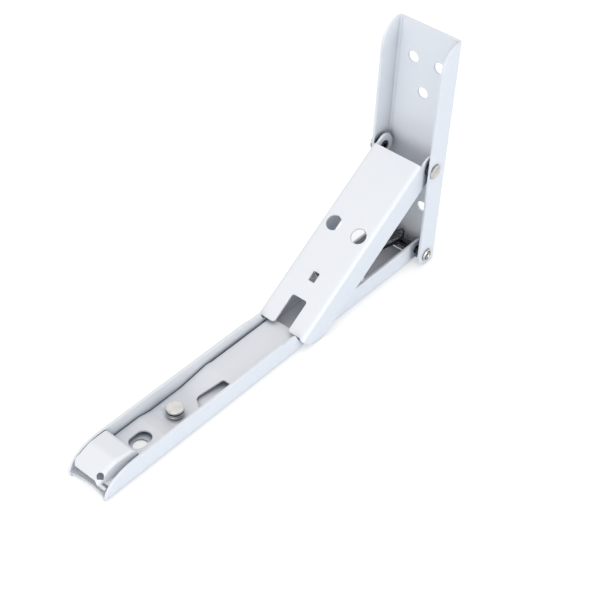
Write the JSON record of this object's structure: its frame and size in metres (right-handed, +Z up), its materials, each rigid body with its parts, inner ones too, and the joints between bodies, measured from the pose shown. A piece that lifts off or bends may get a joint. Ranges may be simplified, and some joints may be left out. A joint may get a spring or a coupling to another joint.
{
  "type": "folding shelf bracket",
  "caption": "Folding shelf bracket: a wall channel, a hinged shelf arm, a diagonal brace that drops into the arm and a release lever with a thumb tab.",
  "frame": {"origin": "on the wall face and the mid-plane, at the middle of the four wall screws", "axes": "+X out from the wall along the open arm, +Z up the wall channel, +Y to the side of the flange seen in the picture"},
  "size_m": [0.259, 0.0438, 0.147],
  "materials": {
    "white_coat": "satin powder coat",
    "plated_steel": "nickel plated",
    "spring_steel": "dark oiled"
  },
  "bodies": {
    "wall": {"wall_channel": "white_coat", "hinge_pin": "plated_steel", "brace_rivet_right": "plated_steel", "brace_rivet_left": "plated_steel"},
    "arm": {"arm_channel": "white_coat", "lever_rivet": "plated_steel", "lever_washer": "plated_steel"},
    "brace": {"brace_channel": "white_coat"},
    "lever": {"release_lever": "white_coat"},
    "spring": {"tension_spring": "spring_steel"}
  },
  "joints": [
    {"name": "fold", "type": "hinge", "parent": "wall", "child": "arm", "pos_m": [0.009, 0, -0.0715], "axis": [0, -1, 0], "range_deg": [0, 88.5]},
    {"name": "brace_swing", "type": "hinge", "parent": "wall", "child": "brace", "pos_m": [0.0116, 0, -0.0098], "axis": [0, -1, 0], "range_deg": [0, 124.7]},
    {"name": "release", "type": "hinge", "parent": "arm", "child": "lever", "pos_m": [0.1973, 0, -0.0772], "axis": [0, 1, 0], "range_deg": [0, 1]},
    {"name": "spring_turn", "type": "hinge", "parent": "wall", "child": "spring", "pos_m": [0.009, 0, -0.0715], "axis": [0, -1, 0], "range_deg": [0, 74.8]}
  ],
  "couplings": [
    {"joint": "brace_swing", "follows": "fold", "ratio": 1.4079},
    {"joint": "spring_turn", "follows": "fold", "ratio": 0.845}
  ]
}
